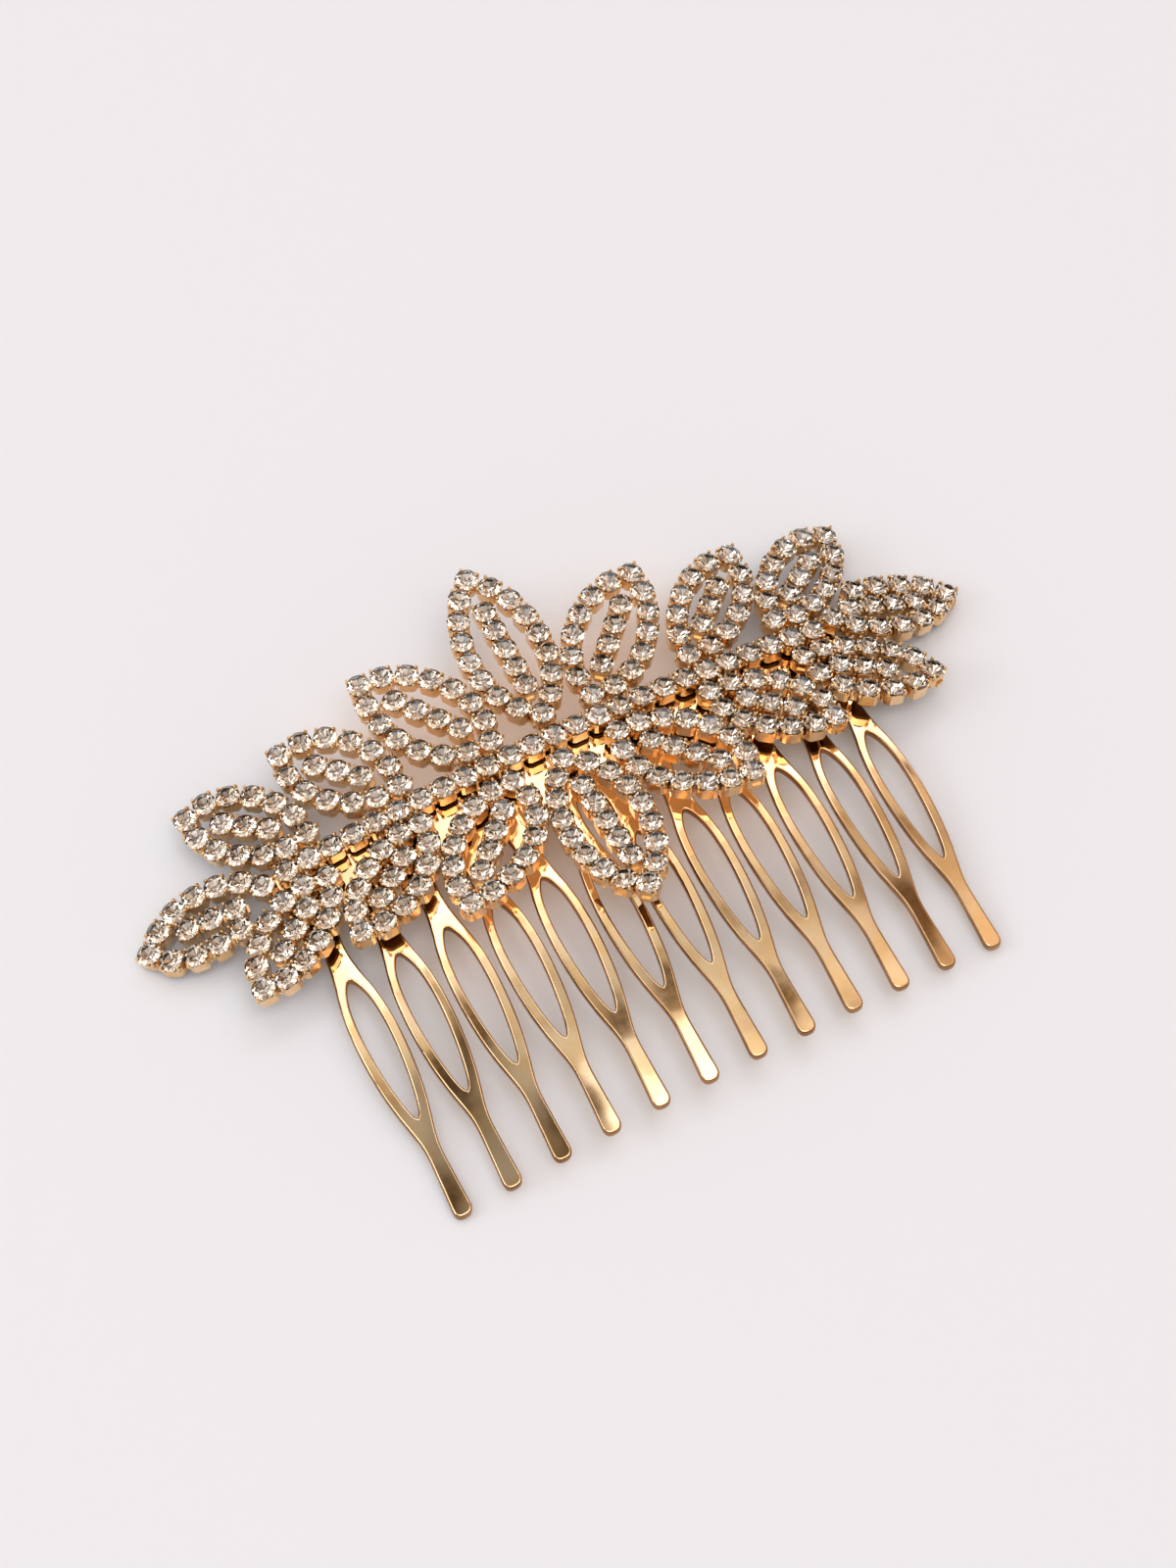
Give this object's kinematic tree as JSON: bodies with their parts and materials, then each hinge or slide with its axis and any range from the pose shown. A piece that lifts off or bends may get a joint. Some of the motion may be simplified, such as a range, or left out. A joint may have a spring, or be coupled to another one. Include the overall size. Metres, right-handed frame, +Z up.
{
  "type": "hair comb",
  "caption": "Curved metal hair comb with a spray of leaves made of round clear stones in square cups, and a row of split flat teeth below.",
  "frame": {"origin": "centre of the bounding box in plan, on the flat surface that the comb lies on", "axes": "+X along the comb's bar, teeth towards -Y, +Z up out of the face with the stones"},
  "size_m": [0.1056, 0.0694, 0.0115],
  "materials": {
    "plated_metal": "bright pale gold plating",
    "clear_stone": "clear cut glass with a silvered back"
  },
  "bodies": {
    "root": {"comb": "plated_metal", "spine_setting": "plated_metal", "left_end_leaf": "plated_metal", "upper_leaf_1": "plated_metal", "upper_leaf_2": "plated_metal", "upper_leaf_3": "plated_metal", "upper_leaf_4": "plated_metal", "upper_leaf_5": "plated_metal", "upper_leaf_6": "plated_metal", "upper_leaf_7": "plated_metal", "right_end_leaf": "plated_metal", "lower_leaf_1": "plated_metal", "lower_leaf_2": "plated_metal", "lower_leaf_3": "plated_metal", "lower_leaf_4": "plated_metal", "lower_leaf_5": "plated_metal", "lower_leaf_6": "plated_metal", "lower_leaf_7": "plated_metal", "left_stones": "clear_stone", "right_stones": "clear_stone"}
  },
  "joints": []
}
